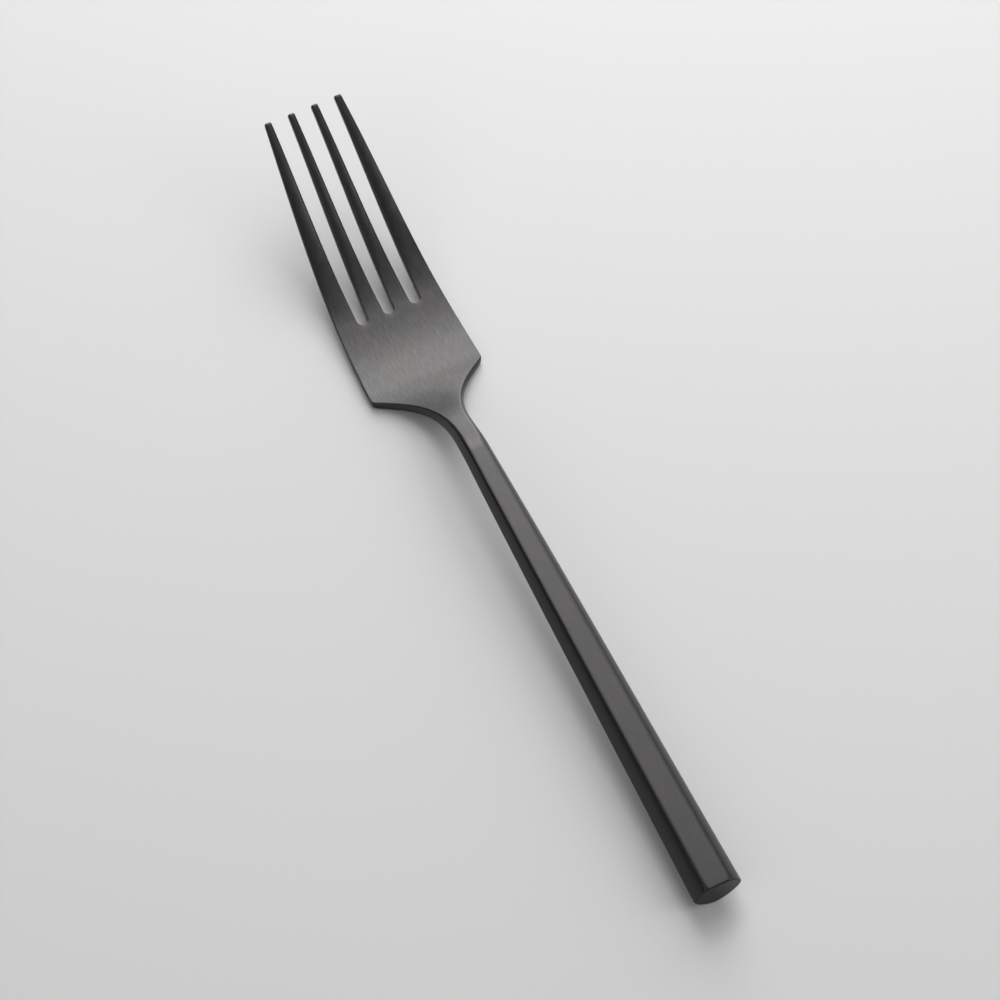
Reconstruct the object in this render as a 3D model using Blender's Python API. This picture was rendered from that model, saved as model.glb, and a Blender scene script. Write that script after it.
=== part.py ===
"""A salad fork with a hollow bar handle, lying on its back.

Metres, +Z up. X runs across the fork and +Y from the butt to the tine tips. The origin is on the
table, under the middle of the fork's length. Places along the fork are stations: distances from the
tips along the table. A place in a section is across (X) and below the fork's top line.
"""

import math

import bpy
import bmesh
from mathutils import Vector

# Lengths along the fork, from the tips to the butt
TINE_LENGTH = 0.0409
ROOT_LENGTH = 0.0176
NECK_LENGTH = 0.0235
HANDLE_LENGTH = 0.1023

# Heights of the top line above the table
TIP_HEIGHT = 0.0235
NECK_HEIGHT = 0.0123
BUTT_HEIGHT = 0.0086
TIP_SLOPE = 0.48
FLAT_BEHIND_SLOTS = 0.0067
RISE_BEFORE_SHOULDER = 0.0025

# Head: plate, outline and slots
PLATE_THICKNESS = 0.0020
TIP_THICKNESS = 0.0014
TIP_HALF_WIDTH = 0.00840
ROOT_HALF_WIDTH = 0.01175
SHOULDER_HALF_WIDTH = 0.01230
SHOULDER_CORNER = 0.0004
SHOULDER_SWEEP = 4.2
SHOULDER_CORNER_FADE = 0.5
TINE_COUNT = 4
TINE_WIDTH_AT_TIP = 0.00115
TINE_WIDTH_AT_ROOT = 0.00362
OUTER_TINE_EXTRA = 0.00097
TIP_ROUND = 0.0004
PLATE_EDGE_ROUND = 0.00025
PLATE_SIDE_ROUND = 0.0003
PLATE_SIDE_SWELL = 0.00005

# Handle section where it meets the neck
NECK_FLAT = 0.00182
NECK_HALF_WIDTH = 0.00292
NECK_WIDEST_DEPTH = 0.0024
NECK_DEPTH = 0.0052

# Handle section at the butt, which rests on the table
BUTT_FLAT = 0.00260
BUTT_HALF_WIDTH = 0.00505
BUTT_WIDEST_DEPTH = 0.0036
CREASE_ROUND = 0.00035
SIDE_BULGE = 0.04
BUTT_EDGE_ROUND = 0.0003

# Inside the handle
SHELL_WALL = 0.0007
FIT_GAP = 0.0003
WELD_GAP = 0.0003
SEAM_DROP = 0.0006
FILLER_WALL = 0.0004
TANG_LENGTH = 0.0340
TANG_TAPER = 0.75
CAP_THICKNESS = 0.0016
SPIGOT_LENGTH = 0.0040

# Mesh fineness
TINE_ROWS = 14
ROOT_ROWS = 8
NECK_ROWS = 30
SHELL_ROWS = 6
SLOT_END_STEPS = 6
TINE_STEPS = 2
ROUND_STEPS = 2
UPPER_STEPS = 5
LOWER_STEPS = 5
BELLY_STEPS = 14
BELLY_SPAN = 0.6
SHOULDER_ROWS = 0.0012
NECK_ROW_CROWDING = 1.6
SHARP_EDGE = math.radians(32)

# Stations that follow from the lengths
SLOT_END = TINE_LENGTH
SHOULDER = SLOT_END + ROOT_LENGTH
JOINT = SHOULDER + NECK_LENGTH
BUTT = JOINT + HANDLE_LENGTH
FLAT_START = SLOT_END + FLAT_BEHIND_SLOTS
RISE_START = SHOULDER - RISE_BEFORE_SHOULDER
# Slots take what the tines leave of the head's width. The outer tines are the wider ones.
SLOT_COUNT = TINE_COUNT - 1
SLOT_WIDTH_AT_TIP = (2 * TIP_HALF_WIDTH - TINE_COUNT * TINE_WIDTH_AT_TIP) / SLOT_COUNT
SLOT_WIDTH_AT_ROOT = (2 * (ROOT_HALF_WIDTH - OUTER_TINE_EXTRA) - TINE_COUNT * TINE_WIDTH_AT_ROOT) / SLOT_COUNT
SLOT_END_RADIUS = SLOT_WIDTH_AT_ROOT / 2
SLOT_END_CENTRE = SLOT_END - SLOT_END_RADIUS
HANDLE_SLOPE = (BUTT_HEIGHT - NECK_HEIGHT) / HANDLE_LENGTH
# A tine's lower edge leans out past its upper edge at the tip
TIP_LEAN = TIP_THICKNESS * TIP_SLOPE / math.hypot(1.0, TIP_SLOPE)
MIDDLE = (BUTT - TIP_LEAN) / 2

# Finishes
BLACK_STEEL = (0.060, 0.059, 0.060)
END_STEEL = (0.045, 0.043, 0.042)
FILLER_GREY = (0.42, 0.40, 0.37)
BRUSHED_ROUGHNESS = 0.34
UNDERSIDE_ROUGHNESS = 0.36
END_ROUGHNESS = 0.42
FILLER_ROUGHNESS = 0.9


def mix(start, end, share):
    return start + (end - start) * share


def ease(share):
    """0 to 1 with level ends."""
    share = min(max(share, 0.0), 1.0)
    return share * share * (3.0 - 2.0 * share)


def hermite(length, start, start_slope, end, end_slope, distance):
    """Height and slope at a distance along a curve with given ends."""
    t = distance / length
    height = (
        start * (2 * t**3 - 3 * t**2 + 1)
        + length * start_slope * (t**3 - 2 * t**2 + t)
        + end * (3 * t**2 - 2 * t**3)
        + length * end_slope * (t**3 - t**2)
    )
    slope = (
        (end - start) / length * 6 * (t - t**2)
        + start_slope * (3 * t**2 - 4 * t + 1)
        + end_slope * (3 * t**2 - 2 * t)
    )
    return height, slope


def top_line(station):
    """Height and slope of the fork's top line: raised tines, flat root, arched neck, straight handle."""
    if station < FLAT_START:
        return hermite(FLAT_START, TIP_HEIGHT, -TIP_SLOPE, PLATE_THICKNESS, 0.0, station)
    if station < RISE_START:
        return PLATE_THICKNESS, 0.0
    if station < JOINT:
        rise = JOINT - RISE_START
        return hermite(rise, PLATE_THICKNESS, 0.0, NECK_HEIGHT, HANDLE_SLOPE, station - RISE_START)
    return NECK_HEIGHT + HANDLE_SLOPE * (station - JOINT), HANDLE_SLOPE


def place(station, across, below):
    """The point at a depth below the top line, measured square to that line."""
    height, slope = top_line(station)
    square = 1.0 / math.hypot(1.0, slope)
    along = station + below * slope * square
    return Vector((across, MIDDLE - along, height - below * square))


def outer_edge(station):
    """Half width of the head's outer edge, a parabola through tip, slot end and shoulder."""
    tip, root, shoulder = TIP_HALF_WIDTH, ROOT_HALF_WIDTH, SHOULDER_HALF_WIDTH
    first = (root - tip) / SLOT_END
    second = (shoulder - root) / ROOT_LENGTH
    bend = (second - first) / SHOULDER
    return tip + first * station + bend * station * (station - SLOT_END)


def soft_least(one, other, softness):
    """The smaller of two widths, with the corner between them rounded off."""
    return 0.5 * (one + other - math.hypot(one - other, 2 * softness))


def head_half_width(station):
    """Half width of the top face from the tips to the joint with the handle."""
    share = (station - SHOULDER) / NECK_LENGTH
    sweep = NECK_FLAT + (SHOULDER_HALF_WIDTH - NECK_FLAT) * max(1.0 - share, 0.0) ** SHOULDER_SWEEP
    rounding = SHOULDER_CORNER * max(1.0 - abs(share) / SHOULDER_CORNER_FADE, 0.0)
    return soft_least(outer_edge(station), sweep, rounding)


class Section:
    """A section square to the top line, the same on its left and right.

    A flat top sits at a drop below the top line. From its edges a nearly straight side slants out
    to the widest line, and a lower curve goes on from there to a level floor, which has no width on
    a round bar.
    """

    def __init__(self, drop, flat, wide, widest_depth, depth, floor, rounding):
        self.drop = drop
        self.flat = flat
        self.wide = wide
        self.widest_depth = widest_depth
        self.depth = depth
        self.floor = floor
        self.rounding = min(rounding, flat / 2)

    def slant(self):
        """Length of the slanting side."""
        return math.hypot(self.wide - self.flat, self.widest_depth)

    def side_point(self, share):
        """Point of the slanting side, from the flat's edge (0) to the widest line (1)."""
        swell = 4.0 * SIDE_BULGE * share * (1.0 - share)
        across = mix(self.flat, self.wide, share) + swell * self.widest_depth
        below = self.widest_depth * share - swell * (self.wide - self.flat)
        return across, self.drop + below

    def belly_below(self, across):
        """Depth of the underside at a place across the section."""
        share = max(abs(across) - self.floor, 0.0) / (self.wide - self.floor)
        reach = math.sqrt(1.0 - share * share)
        return self.drop + mix(self.widest_depth, self.depth, reach)

    def belly_point(self, angle):
        """Point of the lower curve, from the widest line (angle 0) to the floor (a right angle)."""
        across = mix(self.floor, self.wide, math.cos(angle))
        return across, self.drop + mix(self.widest_depth, self.depth, math.sin(angle))

    def upper_side(self):
        """Right-hand points from the end of the flat, round the crease and down the slanting side."""
        leave = self.rounding / self.slant()
        start = (self.flat - self.rounding, self.drop)
        corner = (self.flat, self.drop)
        end = self.side_point(leave)
        points = []
        for step in range(ROUND_STEPS):
            t = step / ROUND_STEPS
            weights = ((1 - t) ** 2, 2 * t * (1 - t), t * t)
            across = sum(weight * point[0] for weight, point in zip(weights, (start, corner, end)))
            below = sum(weight * point[1] for weight, point in zip(weights, (start, corner, end)))
            points.append((across, below))
        for step in range(UPPER_STEPS + 1):
            points.append(self.side_point(mix(leave, 1.0, step / UPPER_STEPS)))
        return points

    def belly(self, highest_angle=0.0):
        """Points of the lower curve from the right side to the left side."""
        span = math.pi / 2 - highest_angle
        right = []
        for step in range(BELLY_STEPS // 2 + 1):
            right.append(self.belly_point(highest_angle + span * step / (BELLY_STEPS // 2)))
        return right[:-1] + [(0.0, self.drop + self.depth)] + mirrored(right[:-1])

    def outline(self):
        """The whole outline, round from the left end of the flat."""
        side = self.upper_side()
        return mirrored(side)[-1:] + side + self.belly()[1:-1] + mirrored(side)[:-1]

    def inset(self, distance):
        """The section that lies a distance inside this one, with its sides parallel to these."""
        run = self.wide - self.flat
        lost_flat = distance * (self.slant() - run) / self.widest_depth
        lost_depth = distance * (1.0 - (self.slant() - self.widest_depth) / run)
        return Section(
            self.drop + distance,
            self.flat - lost_flat,
            self.wide - distance,
            self.widest_depth - lost_depth,
            self.depth - 2 * distance,
            self.floor,
            self.rounding / 2,
        )

    def narrowed(self, share):
        """The section shrunk by a share about the middle of its depth."""
        middle = self.drop + self.depth / 2
        drop = middle - (middle - self.drop) * share
        return Section(
            drop,
            self.flat * share,
            self.wide * share,
            self.widest_depth * share,
            self.depth * share,
            self.floor * share,
            self.rounding * share,
        )


def mirrored(points):
    """Right-hand points on the left, in the opposite order."""
    return [(-across, below) for across, below in reversed(points)]


def plate_thickness(station):
    return mix(TIP_THICKNESS, PLATE_THICKNESS, min(station / SLOT_END, 1.0))


def neck_share(station):
    """0 on the plate, rising to 1 where the neck has become the bar."""
    return ease((station - SHOULDER) / NECK_LENGTH)


def head_section(station):
    """Section of the head: a plate up to the shoulders, turning into the bar along the neck."""
    share = neck_share(station)
    flat = head_half_width(station)
    wide = flat + mix(PLATE_SIDE_SWELL, NECK_HALF_WIDTH - NECK_FLAT, share)
    plate = plate_thickness(station)
    return Section(
        0.0,
        flat,
        wide,
        mix(plate / 2, NECK_WIDEST_DEPTH, share),
        mix(plate, NECK_DEPTH, share),
        mix(wide - PLATE_SIDE_ROUND, 0.0, share),
        mix(PLATE_EDGE_ROUND, CREASE_ROUND, share),
    )


def handle_section(station):
    """Section of the bar handle, which swells evenly from the neck to the butt."""
    share = (station - JOINT) / HANDLE_LENGTH
    butt_depth = BUTT_HEIGHT * math.hypot(1.0, HANDLE_SLOPE)
    return Section(
        0.0,
        mix(NECK_FLAT, BUTT_FLAT, share),
        mix(NECK_HALF_WIDTH, BUTT_HALF_WIDTH, share),
        mix(NECK_WIDEST_DEPTH, BUTT_WIDEST_DEPTH, share),
        mix(NECK_DEPTH, butt_depth, share),
        0.0,
        CREASE_ROUND,
    )


def bridge(mesh, first, second, closed=True):
    """Quads between two loops of vertices with the same count."""
    count = len(first)
    for index in range(count if closed else count - 1):
        following = (index + 1) % count
        mesh.faces.new((first[index], first[following], second[following], second[index]))


def vertices(mesh, points):
    return [mesh.verts.new(point) for point in points]


def loft(mesh, rings):
    """Skin through rings of points, capped at both ends."""
    loops = [vertices(mesh, ring) for ring in rings]
    for first, second in zip(loops, loops[1:]):
        bridge(mesh, first, second)
    mesh.faces.new(reversed(loops[0]))
    mesh.faces.new(loops[-1])


def ring_at(station, points):
    return [place(station, across, below) for across, below in points]


def surface(name, colour, roughness, metallic=1.0):
    material = bpy.data.materials.new(name)
    material.use_nodes = True
    shader = material.node_tree.nodes["Principled BSDF"]
    shader.inputs["Base Color"].default_value = (*colour, 1.0)
    shader.inputs["Metallic"].default_value = metallic
    shader.inputs["Roughness"].default_value = roughness
    return material


def finish(mesh, name, material, parent):
    """Turns a bmesh into a named object with its faces pointing out."""
    bmesh.ops.recalc_face_normals(mesh, faces=mesh.faces[:])
    data = bpy.data.meshes.new(name)
    mesh.to_mesh(data)
    mesh.free()
    data.shade_smooth()
    data.set_sharp_from_angle(angle=SHARP_EDGE)
    data.materials.append(material)
    piece = bpy.data.objects.new(name, data)
    bpy.context.scene.collection.objects.link(piece)
    piece.parent = parent


def slot_centre(index, station):
    """Middle of a slot, counted from the left, at a station in front of the slot ends."""
    tip_pitch = TINE_WIDTH_AT_TIP + SLOT_WIDTH_AT_TIP
    root_pitch = TINE_WIDTH_AT_ROOT + SLOT_WIDTH_AT_ROOT
    return (index - (SLOT_COUNT - 1) / 2) * mix(tip_pitch, root_pitch, station / SLOT_END)


def slot_half_width(station):
    return mix(SLOT_WIDTH_AT_TIP, SLOT_WIDTH_AT_ROOT, station / SLOT_END) / 2


def tine_edges(tine, station):
    """Left and right edge of a tine's top face."""
    outer = head_half_width(station) - PLATE_EDGE_ROUND
    left = -outer
    right = outer
    if tine > 0:
        left = slot_centre(tine - 1, station) + slot_half_width(station)
    if tine < SLOT_COUNT:
        right = slot_centre(tine, station) - slot_half_width(station)
    return left, right


def root_columns():
    """Places across the head behind the slots, and how far each bulges back round a slot end.

    Also gives each tine's span of columns.
    """
    across = []
    bulge = []
    spans = []
    for tine in range(TINE_COUNT):
        left, right = tine_edges(tine, SLOT_END_CENTRE)
        first = len(across)
        for step in range(TINE_STEPS + 1):
            across.append(mix(left, right, step / TINE_STEPS))
            bulge.append(0.0)
        spans.append((first, len(across) - 1))
        if tine == SLOT_COUNT:
            break
        middle = slot_centre(tine, SLOT_END_CENTRE)
        half = slot_half_width(SLOT_END_CENTRE)
        for step in range(1, SLOT_END_STEPS):
            angle = math.pi * step / SLOT_END_STEPS
            across.append(middle - half * math.cos(angle))
            bulge.append(SLOT_END_RADIUS * math.sin(angle))
    return across, bulge, spans


def underside_reach(section, station):
    """How far out the underside columns go: over the plate's floor, or part of the bar's belly."""
    return mix(section.floor, BELLY_SPAN * section.wide, neck_share(station))


def head_side(section, station):
    """Right-hand points from the flat's end to the start of the underside, without these two."""
    out = (underside_reach(section, station) - section.floor) / (section.wide - section.floor)
    lowest = math.acos(max(out, 0.0))
    lower = []
    for step in range(1, LOWER_STEPS + 1):
        lower.append(section.belly_point(lowest * step / (LOWER_STEPS + 1)))
    return section.upper_side()[1:] + lower


def head_ring(station, section, shares, bulge):
    """One ring of the head as points: top columns, right side, underside columns, left side."""
    top_reach = section.flat - section.rounding
    under_reach = underside_reach(section, station)
    top = []
    under = []
    for share, back in zip(shares, bulge):
        across = under_reach * share
        top.append(place(station + back, top_reach * share, section.drop))
        under.append(place(station + back, across, section.belly_below(across)))
    side = head_side(section, station)
    return top, ring_at(station, side), under, ring_at(station, mirrored(side))


def head_stations():
    """Stations of the rings from the slot ends to the joint, closest together at the shoulders."""
    behind_slots = SLOT_END + SLOT_END_RADIUS
    corner = SHOULDER - SHOULDER_ROWS
    stations = [SLOT_END_CENTRE]
    for row in range(ROOT_ROWS):
        stations.append(mix(behind_slots, corner, row / ROOT_ROWS))
    for row in range(NECK_ROWS + 1):
        stations.append(mix(corner, JOINT, (row / NECK_ROWS) ** NECK_ROW_CROWDING))
    return stations


def tine_rows():
    """Station and draw-in of each ring of a tine, from its rounded tip to just before the slot ends."""
    rows = [(0.0, TIP_ROUND / 2)]
    for row in range(TINE_ROWS):
        rows.append((mix(TIP_ROUND, SLOT_END_CENTRE, row / TINE_ROWS), 0.0))
    return rows


def tine_ring(tine, station, shrink):
    """One ring of a tine: top, right wall, underside, left wall, as on the head."""
    section = head_section(station)
    left, right = tine_edges(tine, station)
    top = []
    under = []
    for step in range(TINE_STEPS + 1):
        across = mix(left + shrink, right - shrink, step / TINE_STEPS)
        top.append(place(station, across, shrink))
        under.append(place(station, across, section.depth - shrink))
    side = head_side(section, station)
    right_wall = []
    left_wall = []
    if tine == SLOT_COUNT:
        right_wall = wall_points(station, section, shrink, side)
    if tine == 0:
        left_wall = wall_points(station, section, shrink, mirrored(side))
    return top, right_wall, under, left_wall


def wall_points(station, section, shrink, points):
    """An outer wall of the head, drawn in at the tip."""
    middle = section.depth / 2
    squeeze = 1.0 - shrink / middle
    drawn = []
    for across, below in points:
        side = math.copysign(abs(across) - shrink, across)
        drawn.append(place(station, side, middle + (below - middle) * squeeze))
    return drawn


def loop_of(parts):
    """Joins top, right, underside (reversed) and left into one ring."""
    top, right, under, left = parts
    return list(top) + list(right) + list(reversed(under)) + list(left)


def make_head(parent):
    """Tines, root plate, shoulders, neck and tang as one forging."""
    mesh = bmesh.new()
    across, bulge, spans = root_columns()
    reach = across[-1]
    shares = [place_across / reach for place_across in across]
    level = [0.0] * len(shares)

    rings = []
    for row, station in enumerate(head_stations()):
        back = bulge if row == 0 else level
        parts = head_ring(station, head_section(station), shares, back)
        rings.append([vertices(mesh, part) for part in parts])
    loops = [loop_of(ring) for ring in rings]
    for first, second in zip(loops, loops[1:]):
        bridge(mesh, first, second)
    add_tang(mesh, loops[-1], shares)
    for tine in range(TINE_COUNT):
        add_tine(mesh, tine, rings[0], spans[tine])
    add_slot_ends(mesh, rings[0], spans)
    finish(mesh, "fork_head", surface("fork_head_black", BLACK_STEEL, BRUSHED_ROUGHNESS), parent)


def tang_section(share):
    """Section of the tang, from its root at the joint (0) to its end (1)."""
    distance = SHELL_WALL + FIT_GAP + FILLER_WALL + FIT_GAP
    return handle_section(JOINT).inset(distance).narrowed(mix(1.0, TANG_TAPER, share))


def add_tang(mesh, joint_loop, shares):
    """Steps in from the joint and runs the tang into the handle."""
    level = [0.0] * len(shares)
    previous = joint_loop
    for share in (0.0, 1.0):
        station = JOINT + TANG_LENGTH * share
        parts = head_ring(station, tang_section(share), shares, level)
        loop = vertices(mesh, loop_of(parts))
        bridge(mesh, previous, loop)
        previous = loop
    mesh.faces.new(previous)


def add_tine(mesh, tine, root_ring, span):
    """A tine from its rounded tip to the ring behind the slots, whose vertices it shares."""
    first, last = span
    top, right, under, left = root_ring
    loops = []
    for station, shrink in tine_rows():
        loops.append(vertices(mesh, loop_of(tine_ring(tine, station, shrink))))
    root_parts = (
        top[first:last + 1],
        right if tine == SLOT_COUNT else [],
        under[first:last + 1],
        left if tine == 0 else [],
    )
    loops.append(loop_of(root_parts))
    for one, other in zip(loops, loops[1:]):
        bridge(mesh, one, other)
    mesh.faces.new(reversed(loops[0]))


def add_slot_ends(mesh, root_ring, spans):
    """The round end wall of each slot."""
    top, _, under, _ = root_ring
    for (_, first), (last, _) in zip(spans, spans[1:]):
        for index in range(first, last):
            mesh.faces.new((top[index], under[index], under[index + 1], top[index + 1]))


def shell_stations():
    """Stations of a shell's rings, between its weld to the neck and its weld to the butt cap."""
    front = JOINT + WELD_GAP
    back = BUTT - CAP_THICKNESS - WELD_GAP
    return [mix(front, back, row / SHELL_ROWS) for row in range(SHELL_ROWS + 1)]


def make_shell(name, curve, roughness, parent):
    """A half shell: an open curve of the section and the same curve one wall further in."""
    mesh = bmesh.new()
    rows = []
    for station in shell_stations():
        section = handle_section(station)
        outer = ring_at(station, curve(section))
        inner = ring_at(station, curve(section.inset(SHELL_WALL)))
        rows.append((vertices(mesh, outer), vertices(mesh, inner)))
    for (outer, inner), (next_outer, next_inner) in zip(rows, rows[1:]):
        bridge(mesh, outer, next_outer, closed=False)
        bridge(mesh, next_inner, inner, closed=False)
        bridge(mesh, (inner[0], outer[0]), (next_inner[0], next_outer[0]), closed=False)
        bridge(mesh, (outer[-1], inner[-1]), (next_outer[-1], next_inner[-1]), closed=False)
    for outer, inner in (rows[0], rows[-1]):
        bridge(mesh, outer, inner, closed=False)
    finish(mesh, name, surface(name + "_black", BLACK_STEEL, roughness), parent)


def seam_angle(section, drop):
    """Angle on the lower curve of a seam edge that lies a drop under the widest line."""
    return math.asin(drop / (section.depth - section.widest_depth))


def upper_curve(section):
    """Left seam to right seam over the flat top. The seam lies a little under the widest line."""
    side = section.upper_side()
    lip = section.belly_point(seam_angle(section, SEAM_DROP - WELD_GAP / 2))
    return mirrored(side + [lip]) + side + [lip]


def lower_curve(section):
    """Right seam to left seam round the belly."""
    return section.belly(seam_angle(section, SEAM_DROP + WELD_GAP / 2))


def make_butt_cap(parent):
    """The end plate, flush with the shells, and the spigot that seats in them."""
    mesh = bmesh.new()
    plate_front = BUTT - CAP_THICKNESS
    spigot_end = plate_front - SPIGOT_LENGTH
    spigot_inset = SHELL_WALL + FIT_GAP
    edge = BUTT - BUTT_EDGE_ROUND
    spigot = handle_section(spigot_end).inset(spigot_inset).outline()
    spigot_root = handle_section(plate_front).inset(spigot_inset).outline()
    rings = [
        ring_at(spigot_end, spigot),
        ring_at(plate_front, spigot_root),
        ring_at(plate_front, handle_section(plate_front).outline()),
        ring_at(edge, handle_section(edge).outline()),
        ring_at(BUTT, handle_section(BUTT).inset(BUTT_EDGE_ROUND).outline()),
    ]
    loft(mesh, rings)
    finish(mesh, "butt_cap", surface("butt_cap_black", END_STEEL, END_ROUGHNESS), parent)


def make_filler(parent):
    """Set filler between shells and tang, with a socket that the tang fills."""
    mesh = bmesh.new()
    front = JOINT + WELD_GAP
    back = BUTT - CAP_THICKNESS - SPIGOT_LENGTH - FIT_GAP
    wall = SHELL_WALL + FIT_GAP
    socket_end = JOINT + TANG_LENGTH + FIT_GAP
    socket = tang_section(0.0).inset(-FIT_GAP)
    socket_foot = tang_section(1.0).inset(-FIT_GAP)
    rings = [
        ring_at(back, handle_section(back).inset(wall).outline()),
        ring_at(front, handle_section(front).inset(wall).outline()),
        ring_at(front, socket.outline()),
        ring_at(socket_end, socket_foot.outline()),
    ]
    loft(mesh, rings)
    grey = surface("handle_filler_grey", FILLER_GREY, FILLER_ROUGHNESS, metallic=0.0)
    finish(mesh, "handle_filler", grey, parent)


def clear_scene():
    for item in list(bpy.data.objects):
        bpy.data.objects.remove(item, do_unlink=True)


def main():
    clear_scene()
    fork = bpy.data.objects.new("salad_fork", None)
    bpy.context.scene.collection.objects.link(fork)
    make_head(fork)
    make_shell("handle_upper_shell", upper_curve, BRUSHED_ROUGHNESS, fork)
    make_shell("handle_lower_shell", lower_curve, UNDERSIDE_ROUGHNESS, fork)
    make_butt_cap(fork)
    make_filler(fork)


main()
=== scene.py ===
"""The looks of a salad fork: finely rounded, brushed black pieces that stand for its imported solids.

Metres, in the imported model's frame: X across the fork, +Y from the butt to the tine tips, +Z up, with
the table at zero. Places along the fork are stations: distances from the tips along the table. A place
in a section is across (X) and below the fork's top line.
"""

import math

import bmesh
import bpy
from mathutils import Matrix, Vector


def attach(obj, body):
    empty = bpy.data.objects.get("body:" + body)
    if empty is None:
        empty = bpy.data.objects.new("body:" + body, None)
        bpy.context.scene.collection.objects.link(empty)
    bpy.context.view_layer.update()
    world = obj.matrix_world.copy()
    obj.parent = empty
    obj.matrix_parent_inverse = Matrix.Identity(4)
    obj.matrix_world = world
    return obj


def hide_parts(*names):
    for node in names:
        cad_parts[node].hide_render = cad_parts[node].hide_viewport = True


# Lengths along the fork, from the tips to the butt
TINE_LENGTH = 0.0409
ROOT_LENGTH = 0.0170
NECK_LENGTH = 0.0241
HANDLE_LENGTH = 0.1023

# The top line: its heights above the table, its slopes, and where it bends, lifts and settles
TIP_HEIGHT = 0.0235
NECK_HEIGHT = 0.0116
BUTT_HEIGHT = 0.0086
TIP_SLOPE = 0.48
BEND_BEFORE_SLOT_END = 0.0009
BEND_HEIGHT = 0.0032
BEND_SLOPE = 0.195
LOWEST_BEHIND_SLOTS = 0.0120
RISE_BEFORE_SHOULDER = 0.0041
LIFT_LENGTH = 0.0056
LIFT_SLOPE = 0.30
CREST_BEFORE_JOINT = 0.0047
CREST_SLOPE = 0.25
CREST_LENGTH = 0.0044

# Head: plate, outline and slots
PLATE_THICKNESS = 0.0020
TIP_THICKNESS = 0.0014
TIP_HALF_WIDTH = 0.00855
ROOT_HALF_WIDTH = 0.01175
SHOULDER_HALF_WIDTH = 0.01242
SHOULDER_CORNER = 0.00025
SHOULDER_CORNER_FADE = 0.5
SHOULDER_SWEEP = 4.15
TINE_COUNT = 4
TINE_WIDTH_AT_TIP = 0.00145
TINE_WIDTH_AT_ROOT = 0.00362
OUTER_TINE_EXTRA = 0.00097
PLATE_EDGE_ROUND = 0.00018
PLATE_SIDE_ROUND = 0.0003
PLATE_SIDE_SWELL = 0.00005
TIP_EDGE_ROUND = 0.00030
TINE_EDGE_ROUND = 0.00042
SLOT_END_ROUND = 0.00014
ROUND_FADE = 0.016
TINE_CROWN = 0.16
CROWN_FADE = 0.018
TIP_ROUND_LENGTH = 0.0005
TIP_ROUND_DEPTH = 0.0003

# Handle section where it meets the neck, and at the butt, which rests on the table
NECK_FLAT = 0.00182
NECK_HALF_WIDTH = 0.00292
NECK_WIDEST_DEPTH = 0.0024
NECK_DEPTH = 0.0052
NECK_CREASE_ROUND = 0.00085
BUTT_FLAT = 0.00270
BUTT_HALF_WIDTH = 0.00505
BUTT_WIDEST_DEPTH = 0.0036
BUTT_CREASE_ROUND = 0.0008
CREASE_LEAN = 0.45
SIDE_BULGE = 0.04
HANDLE_SWELL = 0.00015
# Power of the underside's curve: 2 is an ellipse, and less is leaner
BELLY_FULLNESS = 1.6
BUTT_EDGE_ROUND = 0.00042

# Inside the handle
SHELL_WALL = 0.0007
TANG_INSET = 0.0017
TANG_LENGTH = 0.0340
TANG_TAPER = 0.75
CAP_THICKNESS = 0.0016
CAP_INSET = 0.0010
SPIGOT_LENGTH = 0.0040
HAIRLINE = 0.00001

# Mesh fineness
TINE_ROWS = 44
TIP_ROWS = 5
ROOT_ROWS = 18
NECK_ROWS = 90
NECK_ROW_CROWDING = 1.6
SHOULDER_ROWS = 0.0012
HANDLE_ROWS = 48
SLOT_END_STEPS = 16
SLOT_EDGE_STEPS = 4
TINE_STEPS = 6
ROUND_STEPS = 6
UPPER_STEPS = 8
LOWER_STEPS = 10
BELLY_STEPS = 40
BELLY_SPAN = 0.6
END_ROUND_STEPS = 5
SHARP_EDGE = math.radians(50)
LARGE_FACE_WEIGHT = 100

# Stations and widths that follow
SLOT_END = TINE_LENGTH
SHOULDER = SLOT_END + ROOT_LENGTH
JOINT = SHOULDER + NECK_LENGTH
BUTT = JOINT + HANDLE_LENGTH
BEND = SLOT_END - BEND_BEFORE_SLOT_END
LOWEST = SLOT_END + LOWEST_BEHIND_SLOTS
RISE_START = SHOULDER - RISE_BEFORE_SHOULDER
SLOT_COUNT = TINE_COUNT - 1
TINES_AT_TIP = TINE_COUNT * TINE_WIDTH_AT_TIP
TINES_AT_ROOT = TINE_COUNT * TINE_WIDTH_AT_ROOT
SLOT_WIDTH_AT_TIP = (2 * TIP_HALF_WIDTH - TINES_AT_TIP) / SLOT_COUNT
SLOT_WIDTH_AT_ROOT = (2 * (ROOT_HALF_WIDTH - OUTER_TINE_EXTRA) - TINES_AT_ROOT) / SLOT_COUNT
SLOT_END_RADIUS = SLOT_WIDTH_AT_ROOT / 2
SLOT_END_CENTRE = SLOT_END - SLOT_END_RADIUS
HANDLE_SLOPE = (BUTT_HEIGHT - NECK_HEIGHT) / HANDLE_LENGTH
BUTT_DEPTH = BUTT_HEIGHT * math.hypot(1.0, HANDLE_SLOPE)
# The neck lifts gently out of the plate, and its crest settles into the straight handle
LIFTED = RISE_START + LIFT_LENGTH
LIFTED_HEIGHT = PLATE_THICKNESS + LIFT_SLOPE * LIFT_LENGTH / 3
CREST = JOINT - CREST_BEFORE_JOINT
SETTLED = CREST + CREST_LENGTH
SETTLED_HEIGHT = NECK_HEIGHT + HANDLE_SLOPE * (SETTLED - JOINT)
CREST_HEIGHT = SETTLED_HEIGHT - CREST_LENGTH * (CREST_SLOPE + HANDLE_SLOPE) / 2

# A tine's lower edge leans out past its upper edge at the tip
TIP_LEAN = TIP_THICKNESS * TIP_SLOPE / math.hypot(1.0, TIP_SLOPE)
MIDDLE = (BUTT - TIP_LEAN) / 2

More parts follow.
